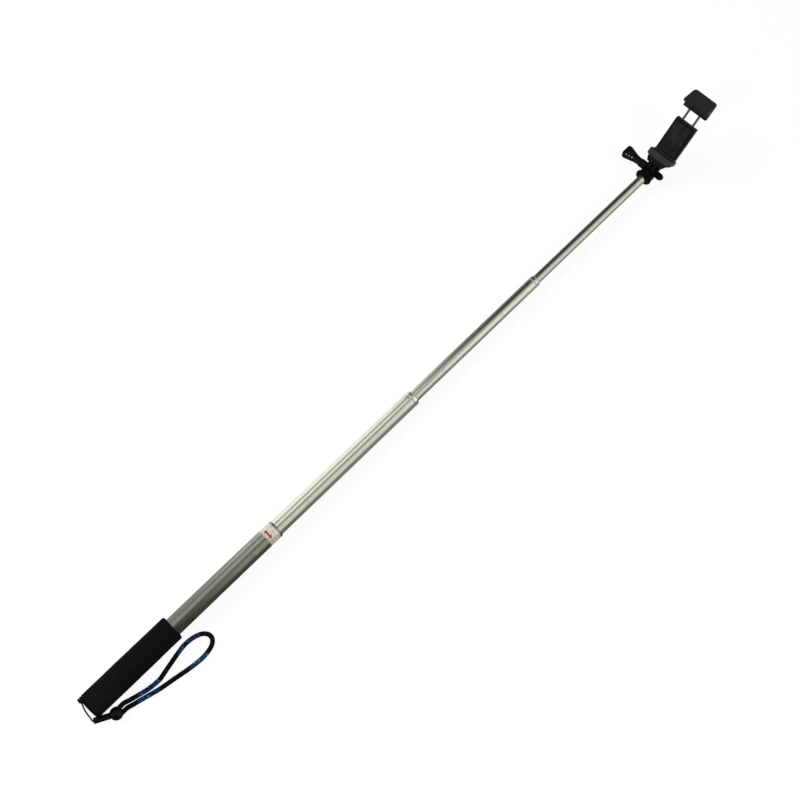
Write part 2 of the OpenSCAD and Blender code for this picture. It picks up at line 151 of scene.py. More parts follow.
class Shade:
    """A node tree being drawn, for a material or the world."""

    def __init__(self, owner):
        owner.use_nodes = True
        self.owner = owner
        self.tree = owner.node_tree
        self.tree.nodes.clear()

    def node(self, kind, settings=None, values=None, out=0):
        """Adds a node, its settings first, then the values or links of its sockets."""
        made = self.tree.nodes.new(kind)
        for key, value in (settings or {}).items():
            if key == "stops":
                ramp = made.color_ramp
                while len(ramp.elements) < len(value):
                    ramp.elements.new(0.5)
                for element, (place, colour) in zip(ramp.elements, value):
                    element.position = place
                    element.color = (*colour, 1)
            else:
                setattr(made, key, value)
        for key, value in (values or {}).items():
            socket = made.inputs[key]
            if isinstance(value, Sock):
                self.tree.links.new(value.socket, socket)
            elif isinstance(value, tuple) and socket.type == "RGBA":
                socket.default_value = (*value, 1)
            else:
                socket.default_value = value
        return Sock(self, made.outputs[out]) if made.outputs else None

    def math(self, operation, *values):
        return self.node("ShaderNodeMath", {"operation": operation}, dict(enumerate(values)))

    def mix(self, factor, a, b):
        """Colour a where factor is 0, b where it is 1."""
        return self.node("ShaderNodeMix", {"data_type": "RGBA"}, {0: factor, 6: a, 7: b}, out=2)

    def place(self):
        """Object coordinates as a vector."""
        return self.node("ShaderNodeTexCoord", out=3)

    def split(self, vector):
        made = self.node("ShaderNodeSeparateXYZ", values={0: vector}).socket.node
        return [Sock(self, made.outputs[i]) for i in range(3)]

    def rays(self):
        """1 for what the camera, a mirror and clear glass see, else 0."""
        made = self.node("ShaderNodeLightPath").socket.node
        kinds = ("Is Camera Ray", "Is Glossy Ray", "Is Transmission Ray")
        return [Sock(self, made.outputs[kind]) for kind in kinds]

    def join(self, x, y, z):
        return self.node("ShaderNodeCombineXYZ", values={0: x, 1: y, 2: z})

    def noise(self, vector, scale, detail):
        values = {"Vector": vector, "Scale": scale, "Detail": detail}
        return self.node("ShaderNodeTexNoise", {"normalize": True}, values)

    def bump(self, height, distance, strength):
        values = {"Height": height, "Distance": distance, "Strength": strength}
        return self.node("ShaderNodeBump", values=values)

    def surface(self, **values):
        """Ends a material in one Principled shader, its sockets named with _ for spaces."""
        named = {key.replace("_", " "): value for key, value in values.items()}
        shader = self.node("ShaderNodeBsdfPrincipled", values=named)
        self.node("ShaderNodeOutputMaterial", values={0: shader})
        return self.owner


def finish_of(name):
    return Shade(bpy.data.materials.new(name))


# Finishes
def drawn_tube(name, tint, sheen):
    """Anodised tube, drawn along X: fine lines along its length, a few faint rubs round it."""
    s = finish_of(name)
    x, y, z = s.split(s.place())
    turn = s.math("ARCTAN2", y, z)
    lines = s.noise(s.join(x * 6.0, turn * 9.0, 0.0), 8.0, 3.0)
    fine = s.noise(s.join(x * 20.0, turn * 60.0, 1.0), 6.0, 2.0)
    rubs = s.noise(s.join(x * 160.0, turn * 0.8, 2.0), 1.0, 2.0).band(0.56, 0.74)
    deep = tuple(0.86 * c for c in tint)
    tone = s.mix(lines.band(0.3, 0.7), deep, tint)
    tone = s.mix(rubs * 0.25, tone, tuple(0.7 * c for c in tint))
    return s.surface(
        Base_Color=tone,
        Metallic=1.0,
        Roughness=sheen + 0.06 * fine + 0.08 * rubs,
        Normal=s.bump(fine, 0.00002, 0.25),
    )


def moulded(name, tone, rough, gloss=0.22, painted_highlight=None):
    """Moulded plastic with a fine grain and faint flow marks.

    The last argument is a reach up the clip, from and to, and the tone of a painted highlight band
    across it.
    """
    s = finish_of(name)
    place = s.place()
    fine = s.noise(place, 1400.0, 2.0)
    flow = s.noise(place, 60.0, 3.0)
    pale = tuple(1.5 * c + 0.002 for c in tone)
    colour = s.mix(flow.band(0.35, 0.75) * 0.6, tone, pale)
    # Painted highlight: a paler band across the clip's tray, where light catches it.
    if painted_highlight:
        x, _, z = s.split(place)
        up = (x - HINGE_X) * math.cos(TILT) + z * math.sin(TILT)
        low, high, worn = painted_highlight
        painted_highlight_share = up.band(low, low + 0.0015) - up.band(high, high + 0.001)
        colour = s.mix(painted_highlight_share, colour, worn)
    return s.surface(
        Base_Color=colour,
        Roughness=rough + 0.14 * flow,
        Specular_IOR_Level=gloss,
        Normal=s.bump(fine, 0.00002, 0.15),
    )


def foam_skin():
    """Closed-cell foam: open pores in a matte skin, a little paler where it has been held."""
    s = finish_of("foam_skin")
    place = s.place()
    pores = s.node("ShaderNodeTexVoronoi", {"feature": "F1"}, {"Vector": place, "Scale": 1500.0})
    cells = pores.band(0.15, 0.6)
    soft = s.noise(place, 420.0, 3.0)
    worn = s.noise(place, 28.0, 3.0).band(0.45, 0.75)
    # Painted shade: darker in the pores.
    tone = s.mix(cells, (0.0015, 0.0015, 0.0015), (0.0045, 0.0048, 0.0045))
    tone = s.mix(worn * 0.35, tone, (0.008, 0.008, 0.0077))
    return s.surface(
        Base_Color=tone,
        Roughness=0.86 + 0.1 * soft,
        Specular_IOR_Level=0.06,
        Normal=s.bump(cells + soft, 0.00012, 0.6),
    )


def bright_steel(name, tint, rough):
    s = finish_of(name)
    place = s.place()
    turned = s.noise(place, 500.0, 2.0)
    stain = s.noise(place, 90.0, 3.0).band(0.5, 0.8)
    return s.surface(
        Base_Color=s.mix(stain * 0.4, tint, tuple(0.6 * c for c in tint)),
        Metallic=1.0,
        Roughness=rough + 0.12 * turned,
        Normal=s.bump(turned, 0.00001, 0.1),
    )


def soft_rubber():
    s = finish_of("soft_rubber")
    place = s.place()
    bloom = s.noise(place, 130.0, 4.0)
    grain = s.noise(place, 1800.0, 2.0)
    return s.surface(
        Base_Color=s.mix(bloom.band(0.4, 0.8), (0.009, 0.009, 0.010), (0.02, 0.02, 0.021)),
        Roughness=0.72 + 0.15 * bloom,
        Specular_IOR_Level=0.15,
        Normal=s.bump(grain, 0.00008, 0.5),
    )


def printed_film():
    """Pale glossy film with a faint warm mottling."""
    s = finish_of("printed_film")
    place = s.place()
    mottle = s.noise(place, 300.0, 3.0)
    edge = s.split(place)[0]
    rim = (edge - LABEL_X[0]).least(LABEL_X[1] - edge).band(0.0, 0.0009)
    tone = s.mix(mottle.band(0.3, 0.7), (0.60, 0.545, 0.48), (0.74, 0.675, 0.61))
    return s.surface(
        Base_Color=s.mix(rim, (0.30, 0.30, 0.26), tone),
        Roughness=0.28 + 0.12 * mottle,
        Metallic=0.5,
        Coat_Weight=0.5,
        Coat_Roughness=0.12,
    )


def mark_ink():
    s = finish_of("mark_ink")
    speck = s.noise(s.place(), 1600.0, 2.0)
    return s.surface(
        Base_Color=s.mix(speck.band(0.4, 0.7), (0.25, 0.05, 0.015), (0.09, 0.006, 0.005)),
        Roughness=0.4 + 0.1 * speck,
    )


def braided_cord():
    """Round braid on the cord's own map: u is metres along it, v one turn round it."""
    s = finish_of("braided_cord")
    u, v, _ = s.split(s.node("ShaderNodeUVMap", {"uv_map": "along"}))
    each_way = 8.0
    lead = u * 330.0
    one = v * each_way + lead
    two = v * each_way - lead
    over = (one.floor() + two.floor()).mod(2.0)
    height_one = (one * math.pi).sin().abs()
    height_two = (two * math.pi).sin().abs()
    height = over * height_one + (1.0 - over) * height_two
    strand = over * one.floor().mod(each_way) + (1.0 - over) * (each_way + two.floor().mod(each_way))
    seed = strand + u.math("SNAP", 0.004) * 90.0
    pick = s.node("ShaderNodeTexWhiteNoise", {"noise_dimensions": "1D"}, {"W": seed})
    blue = s.node("ShaderNodeAttribute", {"attribute_name": "fleck"}, out=2)
    dye = s.mix(pick, (0.003, 0.014, 0.05), (0.008, 0.055, 0.16))
    dye = s.mix(pick > 0.93, dye, (0.07, 0.19, 0.34))
    tone = s.mix(blue * (pick > 0.25), (0.003, 0.003, 0.004), dye)
    # Painted shade: each strand darkens almost to black towards its edges, in the grooves of the braid.
    tone = s.mix(height.band(0.0, 0.55), (0.001, 0.001, 0.0015), tone)
    return s.surface(
        Base_Color=tone,
        Roughness=0.62 + 0.2 * (1.0 - height),
        Specular_IOR_Level=0.12,
        Normal=s.bump(height, 0.00035, 0.8),
    )


def twisted_string():
    s = finish_of("twisted_string")
    u, v, _ = s.split(s.node("ShaderNodeUVMap", {"uv_map": "along"}))
    lay_of = ((v * 3.0 + u * 700.0) * math.pi).sin().abs()
    # Painted shade: the colour is darker in the grooves between the plies.
    return s.surface(
        Base_Color=s.mix(lay_of.band(0.0, 0.6), (0.002, 0.002, 0.002), (0.008, 0.008, 0.009)),
        Roughness=0.6 + 0.2 * lay_of,
        Specular_IOR_Level=0.12,
        Normal=s.bump(lay_of, 0.0002, 0.8),
    )


# Lanyard: the routes of the frame's cord and string, in millimetres where they are laid
def lay(x, y, up=0.0):
    """A point x from the grip's butt end and y from its side, on the surface or above it by up."""
    return Vector((x / 1000 - GRIP_LEN, y / 1000 - GRIP_R, FLOOR_Z + CORD_R + up / 1000))


def smooth(points, steps):
    """The route as a Catmull-Rom curve through its points."""
    last = len(points) - 1
    made = []
    for i in range(last):
        a, b = points[max(i - 1, 0)], points[i]
        c, d = points[i + 1], points[min(i + 2, last)]
        for k in range(steps):
            t = k / steps
            made.append(0.5 * (
                2 * b + (c - a) * t + (2 * a - 5 * b + 4 * c - d) * t ** 2
                + (3 * b - a - 3 * c + d) * t ** 3
            ))
    return made + [points[last]]


def run_of(path):
    """Distance along the path at each of its points."""
    runs = [0.0]
    for a, b in zip(path, path[1:]):
        runs.append(runs[-1] + (b - a).length)
    return runs


def swept(name, path, radius, sides):
    """A round tube along the path, with the map that the cord finishes read."""
    mesh = bpy.data.meshes.new(name)
    bm = bmesh.new()
    along = bm.loops.layers.uv.new("along")
    runs = run_of(path)
    rings = []
    for i, point in enumerate(path):
        way = (path[min(i + 1, len(path) - 1)] - path[max(i - 1, 0)]).normalized()
        side = way.cross(Vector((0, 0, 1))).normalized()
        top = side.cross(way)
        rings.append([
            bm.verts.new(point + radius * (math.cos(t) * side + math.sin(t) * top))
            for t in (2 * math.pi * k / sides for k in range(sides))
        ])
    for i in range(len(rings) - 1):
        for k in range(sides):
            n = (k + 1) % sides
            face = bm.faces.new((rings[i][k], rings[i][n], rings[i + 1][n], rings[i + 1][k]))
            corners = ((i, k), (i, k + 1), (i + 1, k + 1), (i + 1, k))
            for loop, (ring, turn) in zip(face.loops, corners):
                loop[along].uv = (runs[ring], turn / sides)
    bm.faces.new(rings[0])
    bm.faces.new(reversed(rings[-1]))
    bmesh.ops.recalc_face_normals(bm, faces=bm.faces)
    for face in bm.faces:
        face.smooth = len(face.verts) == 4
    bm.to_mesh(mesh)
    bm.free()
    return linked(name, mesh)


BEAD_AT = Vector((-0.0948, -0.0217, -0.00725))
CORD_IN = BEAD_AT.x + 0.0018
IN_Z = BEAD_AT.z - 0.002
STRAND_GAP = 0.0008
STRAND_A = BEAD_AT.y + CORD_R + STRAND_GAP / 2
STRAND_B = BEAD_AT.y - CORD_R - STRAND_GAP / 2
# Stretches of the cord with blue strands: from and to, by the distance along it
BLUE_STRETCHES = [(0.025, 0.0495), (0.079, 0.109), (0.139, 0.163), (0.196, 0.221)]


def make_cord():
    """The wrist loop, out of the bead and back into it."""
    route = [
        Vector((CORD_IN, STRAND_A, IN_Z)), Vector((CORD_IN + 0.004, STRAND_A, IN_Z - 0.0003)),
        lay(24, -4.6, 1.4), lay(29, -5.9, 0.4), lay(36, -7.8), lay(45, -10.2), lay(54, -11.9),
        lay(64, -12.4), lay(71, -11), lay(80, -9), lay(94, -6), lay(103, -4.6), lay(111, -4.8),
        lay(118.2, -6.4), lay(124, -9.2), lay(127.8, -13.8), lay(128, -19), lay(124.8, -23.2),
        lay(119.6, -25.6), lay(113, -26.8), lay(105, -27), lay(91, -25.4), lay(75, -22.4),
        lay(59, -19.6), lay(46, -16.2), lay(36, -13.5), lay(29, -11.8, 0.4), lay(24, -10.6, 1.4),
        Vector((CORD_IN + 0.004, STRAND_B, IN_Z - 0.0003)), Vector((CORD_IN, STRAND_B, IN_Z)),
    ]
    path = smooth(route, 8)
    runs = run_of(path)
    sides = 16
    cord = swept("wrist_cord", path, CORD_R, sides)
    fleck = cord.data.attributes.new("fleck", "FLOAT", "POINT")
    fade = 0.0012
    for i, run in enumerate(runs):
        near = max(min(run - a, b - run) for a, b in BLUE_STRETCHES)
        for k in range(sides):
            fleck.data[i * sides + k].value = min(max(near / fade + 0.5, 0.0), 1.0)
    cord.data.materials.append(braided_cord())
    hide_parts("lanyard_cord")
    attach(cord, "handle")
    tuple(path[0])


def make_string():
    """The thin string, from its knot at the butt's lug to the ferrule."""
    lug = Vector((-0.1115, 0.0104, 0.0))
    near = Vector((-0.1152, -0.0105, -0.0108))
    far = BEAD_AT + Vector((-0.0036, 0.0019, -0.0018))
    route = [
        lug + Vector((0, 0.0026, 0)), lug, lug + Vector((-0.0003, -0.003, -0.0003)),
        Vector((lug.x - 0.0016, 0.004, -0.0016)), Vector((lug.x - 0.0028, 0.0004, -0.0032)),
        Vector((lug.x - 0.0035, -0.0032, -0.0054)), Vector((lug.x - 0.0039, -0.0066, -0.008)),
        near - 0.05 * (far - near), near + 0.16 * (far - near),
    ]
    path = smooth(route, 6)
    length = run_of(path)[-1]
    string = swept("wrist_string", path, STRING_R, 12)
    string.data.materials.append(twisted_string())
    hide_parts("lanyard_string")
    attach(string, "handle")
    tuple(path[0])


# Pieces
def turned_ring(name, profile, sides, body):
    """A closed ring round X from its profile, a list of (x, radius)."""
    mesh = bpy.data.meshes.new(name)
    bm = bmesh.new()
    rings = []
    for k in range(sides):
        t = 2 * math.pi * k / sides
        rings.append([bm.verts.new((x, r * math.sin(t), r * math.cos(t))) for x, r in profile])
    count = len(profile)
    for k in range(sides):
        here, there = rings[k], rings[(k + 1) % sides]
        for i in range(count):
            n = (i + 1) % count
            bm.faces.new((here[i], here[n], there[n], there[i])).smooth = True
    bmesh.ops.recalc_face_normals(bm, faces=bm.faces)
    bm.to_mesh(mesh)
    bm.free()
    mesh.set_sharp_from_angle(angle=math.radians(50))
    made = linked(name, mesh)
    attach(made, body)
    return made


def make_grip():
    """Foam tube: straight sides, rounded ends that press in a little round the tube."""
    r, edge = GRIP_R, 0.0021
    front, butt = 0.0, -GRIP_LEN
    sag = 0.00012
    profile = [(butt, SEAT_R), (butt, r - edge - 0.0012)]
    for k in range(7):
        t = math.radians(15 * k)
        profile.append((butt + edge - edge * math.cos(t), r - edge + edge * math.sin(t)))
    for k in range(1, 26):
        at = k / 26
        swell = sag * math.sin(math.pi * at) + sag / 3 * math.sin(21 * at)
        profile.append((butt + edge + at * (GRIP_LEN - 2 * edge), r - sag + swell))
    for k in range(7):
        t = math.radians(90 - 15 * k)
        profile.append((front - edge + edge * math.cos(t), r - edge + edge * math.sin(t)))
    profile += [(front, TUBE_R + 0.0003), (front - 0.0006, SEAT_R)]
    grip = turned_ring("grip_foam", profile, 96, "handle")
    grip.data.materials.append(foam_skin())
    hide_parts("foam_grip")


def softened(name, width, finish, body):
    """A copy of a frame piece with its sharp edges rounded, in its place."""
    mesh = nodes[name].data.copy()
    bm = bmesh.new()
    bm.from_mesh(mesh)
    bmesh.ops.remove_doubles(bm, verts=bm.verts, dist=2e-6)
    bmesh.ops.dissolve_limit(
        bm, angle_limit=math.radians(0.4), verts=bm.verts, edges=bm.edges,
        use_dissolve_boundaries=False,
    )
    sharp = [e for e in bm.edges if e.is_manifold and e.calc_face_angle() > math.radians(32)]
    bmesh.ops.bevel(
        bm, geom=sharp, offset=width, segments=2, profile=0.5, affect="EDGES", clamp_overlap=True,
    )
    bmesh.ops.triangulate(bm, faces=[f for f in bm.faces if len(f.verts) > 4])
    for face in bm.faces:
        face.smooth = True
    bm.to_mesh(mesh)
    bm.free()
    mesh.set_sharp_from_angle(angle=math.radians(38))
    mesh.materials.clear()
    mesh.materials.append(finish)
    made = linked("soft_" + name, mesh)
    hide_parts(name)
    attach(made, body)
    return made


def paint(finish, *names):
    """Gives one finish to frame pieces that show as they are."""
    for name in names:
        slots = nodes[name].data.materials
        slots.clear()
        slots.append(finish)


def rolled_groove(radius, mouth, depth):
    """The part of a tube's profile that is rolled in a little behind its mouth."""
    at = mouth - ROLL - 0.0043
    profile = [(at - 0.0013, radius)]
    for k in range(9):
        t = math.radians(180 * k / 8)
        profile.append((at - 0.0009 * math.cos(t), radius - depth * math.sin(t)))
    return profile + [(at + 0.0013, radius)]


def rolled_mouth(radius, mouth, neck):
    """The end of a tube's profile, rolled in to the radius neck and back to the bore."""
    lip = neck + 0.0001
    profile = []
    for k in range(9):
        t = math.radians(90 * k / 8)
        profile.append((mouth - ROLL * (1 - math.sin(t)), lip + (radius - lip) * math.cos(t)))
    inside = [(mouth - 0.1 * ROLL, neck), (mouth - 0.3 * ROLL, neck), (mouth - ROLL, radius - WALL)]
    return profile + inside


def make_tube(number, profile, tint, sheen, body):
    """One tube of the pole from its profile, in its own copy of the finish, whose tint paints light or
    shade.
    """
    tube = turned_ring(f"pole_tube_{number}", profile, TUBE_SIDES, body)
    tube.data.materials.append(drawn_tube(f"drawn_tube_{number}", tint, sheen))
    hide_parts(f"tube_{number}")


def make_tubes():
    """Four drawn tubes: the first is turned down for the grip and the label, the last is plain."""
    start, recess = -GRIP_LEN, FILM_R - FILM_THICK
    profile = [(start, TUBE_R - WALL), (start, SEAT_R), (0, SEAT_R), (0, TUBE_R)]
    profile += [(LABEL_X[0], TUBE_R), (LABEL_X[0], recess), (LABEL_X[1], recess)]
    profile += rolled_mouth(TUBE_R, 0.1425, 0.0090)
    # Each tube's tint is painted light and shade: lit and shaded copies of one anodised finish, the
    # first darkest, the second brightest.
    make_tube(1, profile, (0.445, 0.455, 0.36), 0.12, "handle")

    for number, radius, start, mouth, neck, tint in (
        (2, 0.0087, 0.1085, 0.3465, 0.0068, (0.96, 0.965, 0.82)),
        (3, 0.0065, 0.3145, 0.5445, 0.0055, (0.82, 0.83, 0.70)),
    ):
        profile = [(start, radius - WALL), (start, radius)]
        profile += rolled_groove(radius, mouth, 0.00012) + rolled_mouth(radius, mouth, neck)
        make_tube(number, profile, tint, 0.1, f"stage_{number}")

    start, radius = 0.5165, 0.0052
    profile = [(start, radius - WALL), (start, radius), (TIP_X, radius), (TIP_X, radius - WALL)]
    make_tube(4, profile, (0.655, 0.67, 0.57), 0.1, "stage_4")


def make_label(finish, ink):
    """Pale film round the outer tube, with a plain double arrow for the way that the lock turns."""
    r, thick, worn = FILM_R, FILM_THICK, 0.00004
    low, high = LABEL_X
    profile = [(low, r - thick), (low, r - worn), (low + thick, r)]
    profile += [(high - thick, r), (high, r - worn), (high, r - thick)]
    band = turned_ring("label_film", profile, TUBE_SIDES, "handle")
    band.data.materials.append(finish)
    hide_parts("lock_label")

    middle, turn, proud = 0.1308, math.radians(-6), 0.00004

    def on_film(a, b, up):
        t = turn + b / r
        return (middle + a, (r + up) * math.sin(t), (r + up) * math.cos(t))

    half, shaft, head, steps = 0.003, 0.001, 0.0028, 12
    cuts = [half * (2 * k / steps - 1) for k in range(steps + 1)]
    shapes = [[(-shaft, a), (shaft, a), (shaft, b), (-shaft, b)] for a, b in zip(cuts, cuts[1:])]
    for end in (-1, 1):
        for k in range(4):
            a, b = half + 0.0006 * k, half + 0.0006 * (k + 1)
            wide, less = head * (1 - k / 4), head * (1 - (k + 1) / 4) + 0.00002
            shapes.append([(-wide, end * a), (wide, end * a), (less, end * b), (-less, end * b)])
    mesh = bpy.data.meshes.new("turn_mark")
    bm = bmesh.new()
    for shape in shapes:
        top = [bm.verts.new(on_film(a, b, proud)) for a, b in shape]
        under = [bm.verts.new(on_film(a, b, -proud)) for a, b in shape]
        bm.faces.new(top)
        bm.faces.new(under[::-1])
        for k in range(len(shape)):
            n = (k + 1) % len(shape)
            bm.faces.new((top[n], top[k], under[k], under[n]))
    bmesh.ops.recalc_face_normals(bm, faces=bm.faces)
    bm.to_mesh(mesh)
    bm.free()
    mesh.materials.append(ink)
    mark = linked("turn_mark", mesh)
    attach(mark, "handle")


# Repeated details, grown by node trees
class Grow:
    """A Geometry Nodes tree with named inputs for its sizes."""

    def __init__(self, name, **sizes):
        self.name = name
        self.tree = bpy.data.node_groups.new(name, "GeometryNodeTree")
        face = self.tree.interface
        face.new_socket("Geometry", in_out="OUTPUT", socket_type="NodeSocketGeometry")
        kinds = {int: "NodeSocketInt", float: "NodeSocketFloat", tuple: "NodeSocketVector"}
        self.sizes = []
        for key, value in sizes.items():
            made = face.new_socket(key, in_out="INPUT", socket_type=kinds[type(value)])
            self.sizes.append((made.identifier, value))
        self.start = self.tree.nodes.new("NodeGroupInput")

    def size(self, key):
        return self.start.outputs[key]

    def node(self, kind, settings=None, values=None, out=0):
        made = self.tree.nodes.new(kind)
        for key, value in (settings or {}).items():
            setattr(made, key, value)
        for key, value in (values or {}).items():
            if isinstance(value, list):
                for each in value:
                    self.tree.links.new(each, made.inputs[key])
            elif isinstance(value, bpy.types.NodeSocket):
                self.tree.links.new(value, made.inputs[key])
            else:
                made.inputs[key].default_value = value
        return made.outputs[out]

    def math(self, operation, *values):
        return self.node("ShaderNodeMath", {"operation": operation}, dict(enumerate(values)))

    def vector(self, x=0.0, y=0.0, z=0.0):
        return self.node("ShaderNodeCombineXYZ", values={0: x, 1: y, 2: z})

    def placed(self, geometry, move=(0, 0, 0), turn=(0, 0, 0)):
        return self.node(
            "GeometryNodeTransform",
            values={"Geometry": geometry, "Translation": move, "Rotation": turn},
        )

    def harvest(self, geometry, finish, body):
        """Ends the tree, and gives its result as a plain mesh that rides on the body."""
        real = self.node("GeometryNodeRealizeInstances", values={"Geometry": geometry})
        dressed = self.node("GeometryNodeSetMaterial", values={"Geometry": real, "Material": finish})
        end = self.tree.nodes.new("NodeGroupOutput")
        self.tree.links.new(dressed, end.inputs[0])
        seed = linked(self.name + "_seed", bpy.data.meshes.new(self.name + "_seed"))
        grow = seed.modifiers.new("grow", "NODES")
        grow.node_group = self.tree
        for identifier, value in self.sizes:
            grow[identifier] = value
        graph = bpy.context.evaluated_depsgraph_get()
        mesh = bpy.data.meshes.new_from_object(seed.evaluated_get(graph), depsgraph=graph)
        seed.modifiers.remove(grow)
        bpy.data.objects.remove(seed)
        made = linked(self.name, mesh)
        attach(made, body)
        return made


def to_clip(u, y, w):
    """A place on the clip: u from the pivot along it, w towards its front, in millimetres."""
    c, s = math.cos(TILT), math.sin(TILT)
    return (HINGE_X + (u * c - w * s) / 1000, y / 1000, (u * s + w * c) / 1000)


def make_disc_ribs(finish):
    """Thumb ribs round the lock disc."""
    g = Grow(
        "disc_ribs", Count=30, Ring=0.0098, Rib=0.0005, Long=0.0014, Place=(TIP_X + 0.002, 0.0, 0.0)
    )
    ring = g.node(
        "GeometryNodeMeshCircle", values={"Vertices": g.size("Count"), "Radius": g.size("Ring")}
    )
    rib = g.node(
        "GeometryNodeMeshCylinder",
        values={"Vertices": 8, "Radius": g.size("Rib"), "Depth": g.size("Long")},
    )
    ribs = g.node("GeometryNodeInstanceOnPoints", values={"Points": ring, "Instance": rib})
    ribs = g.placed(ribs, move=g.size("Place"), turn=(0, math.pi / 2, 0))
    g.harvest(ribs, finish, "stage_4")


def make_pad_ribs(name, finish, body, up):
    """Low round ribs across a pad whose face is up from the pivot, in a row towards its front."""
    step = tuple(b - a for a, b in zip(to_clip(0, 0, 0), to_clip(0, 0, 2.1)))
    g = Grow(name, Count=4, First=to_clip(up, 0, -9.2), Step=step, Across=0.025, Thick=0.0005)
    row = g.node(
        "GeometryNodeMeshLine",
        values={"Count": g.size("Count"), "Start Location": g.size("First"), "Offset": g.size("Step")},
    )
    rib = g.node(
        "GeometryNodeMeshCylinder",
        values={"Vertices": 10, "Radius": g.size("Thick"), "Depth": g.size("Across")},
    )
    turned = g.placed(rib, turn=(math.pi / 2, 0, 0))
    ribs = g.node("GeometryNodeInstanceOnPoints", values={"Points": row, "Instance": turned})
    g.harvest(ribs, finish, body)


def make_handle_glint_dots(finish):
    """A row of low grip dots on both faces of the thumb handle; their pale finish is painted glints."""
    g = Grow(
        "handle_dots", Count=3, First=(-0.0042, 0.0264, 0.0035), Step=(-0.0006, 0.0038, 0.0),
        Dot=0.001, Flat=0.35, Axis=(HINGE_X, 0.0, 0.0),
    )
    row = g.node(
        "GeometryNodeMeshLine",
        values={"Count": g.size("Count"), "Start Location": g.size("First"), "Offset": g.size("Step")},
    )
    dot = g.node(
        "GeometryNodeMeshUVSphere", values={"Segments": 20, "Rings": 12, "Radius": g.size("Dot")}
    )
    dots = g.node("GeometryNodeInstanceOnPoints", values={
        "Points": row, "Instance": dot, "Scale": g.vector(1.0, 1.0, g.size("Flat")),
    })
    under = g.placed(dots, turn=(0, math.pi, 0))
    both = g.node("GeometryNodeJoinGeometry", values={"Geometry": [dots, under]})
    g.harvest(g.placed(both, move=g.size("Axis")), finish, "thumb")


def make_screws(finish):
    """Four cross-headed screws that hold the housing's cover."""
    g = Grow("cover_screw_heads", Wide=0.0448, High=0.024, Head=0.0018, Thick=0.0009, Cross=0.0006)
    head = g.node(
        "GeometryNodeMeshCylinder",
        values={"Vertices": 24, "Radius": g.size("Head"), "Depth": g.size("Thick")},
    )
    dome = g.node(
        "GeometryNodeMeshCone",
        values={
            "Vertices": 24, "Radius Top": g.math("MULTIPLY", g.size("Head"), 0.6),
            "Radius Bottom": g.size("Head"), "Depth": g.math("MULTIPLY", g.size("Thick"), 0.5),
        },
    )
    arms = []
    long = g.math("MULTIPLY", g.size("Head"), 1.2)
    for x, y in ((long, g.size("Cross")), (g.size("Cross"), long)):
        bar = g.node("GeometryNodeMeshCube", values={"Size": g.vector(x, y, g.size("Thick"))})
        arms.append(g.placed(bar, move=g.vector(z=g.size("Thick"))))
    upper = g.placed(dome, move=g.vector(z=g.math("MULTIPLY", g.size("Thick"), 0.5)))
    whole = g.node("GeometryNodeMeshBoolean", {"operation": "UNION"}, {"Mesh 2": [head, upper]})
    cut = g.node(
        "GeometryNodeMeshBoolean", {"operation": "DIFFERENCE"}, {"Mesh 1": whole, "Mesh 2": arms}
    )
    grid = g.node(
        "GeometryNodeMeshGrid",
        values={"Size X": g.size("Wide"), "Size Y": g.size("High"), "Vertices X": 2, "Vertices Y": 2},
    )
    heads = g.node("GeometryNodeInstanceOnPoints", values={"Points": grid, "Instance": cut})
    flipped = g.placed(heads, turn=(math.pi, 0, 0))
    tilted = g.placed(flipped, turn=(0, -TILT, 0), move=to_clip(38.9, 0, -20.05))
    made = g.harvest(tilted, finish, "clip")
    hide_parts("cover_screws")


# The part, piece by piece
make_grip()

black = moulded("black_moulding", (0.0065, 0.0065, 0.007), 0.36)
satin_black = moulded("satin_black", (0.002, 0.002, 0.0022), 0.2, 0.17)
deep_black = moulded("deep_black", (0.0018, 0.0018, 0.0019), 0.4, 0.06)
jaw_black = moulded("jaw_black", (0.0085, 0.009, 0.007), 0.36)
# The last argument paints a highlight band across the clip's tray.
clip_black = moulded(
    "clip_black", (0.0035, 0.0035, 0.0035), 0.36, 0.14, (0.0138, 0.0212, (0.026, 0.027, 0.024))
)
dull_black = moulded("dull_black", (0.003, 0.003, 0.0033), 0.55, 0.1)
nylon = moulded("natural_nylon", (0.62, 0.61, 0.56), 0.4)
steel = bright_steel("plated_steel", (0.5, 0.5, 0.49), 0.26)
dark_steel = bright_steel("blackened_steel", (0.018, 0.018, 0.019), 0.34)
rod_steel = bright_steel("rod_steel", (0.42, 0.42, 0.41), 0.42)
rubber = soft_rubber()
# Pale grey for the handle's dots: painted glints, where light would catch the handle.
painted_glint_finish = moulded("painted_glint_plastic", (0.16, 0.16, 0.155), 0.3)

make_tubes()
make_label(printed_film(), mark_ink())
make_disc_ribs(deep_black)
make_pad_ribs("lower_pad_ribs", rubber, "clip", 20.75)
make_pad_ribs("upper_pad_ribs", rubber, "jaw", 87.35)
make_handle_glint_dots(painted_glint_finish)
make_screws(steel)

paint(nylon, "mouth_bush_1", "mouth_bush_2", "mouth_bush_3")
paint(nylon, "lock_sleeve_2", "lock_sleeve_3", "lock_sleeve_4")
paint(satin_black, "lock_stud_2", "lock_stud_3", "lock_stud_4")
paint(steel, "head_plug", "jaw_springs")

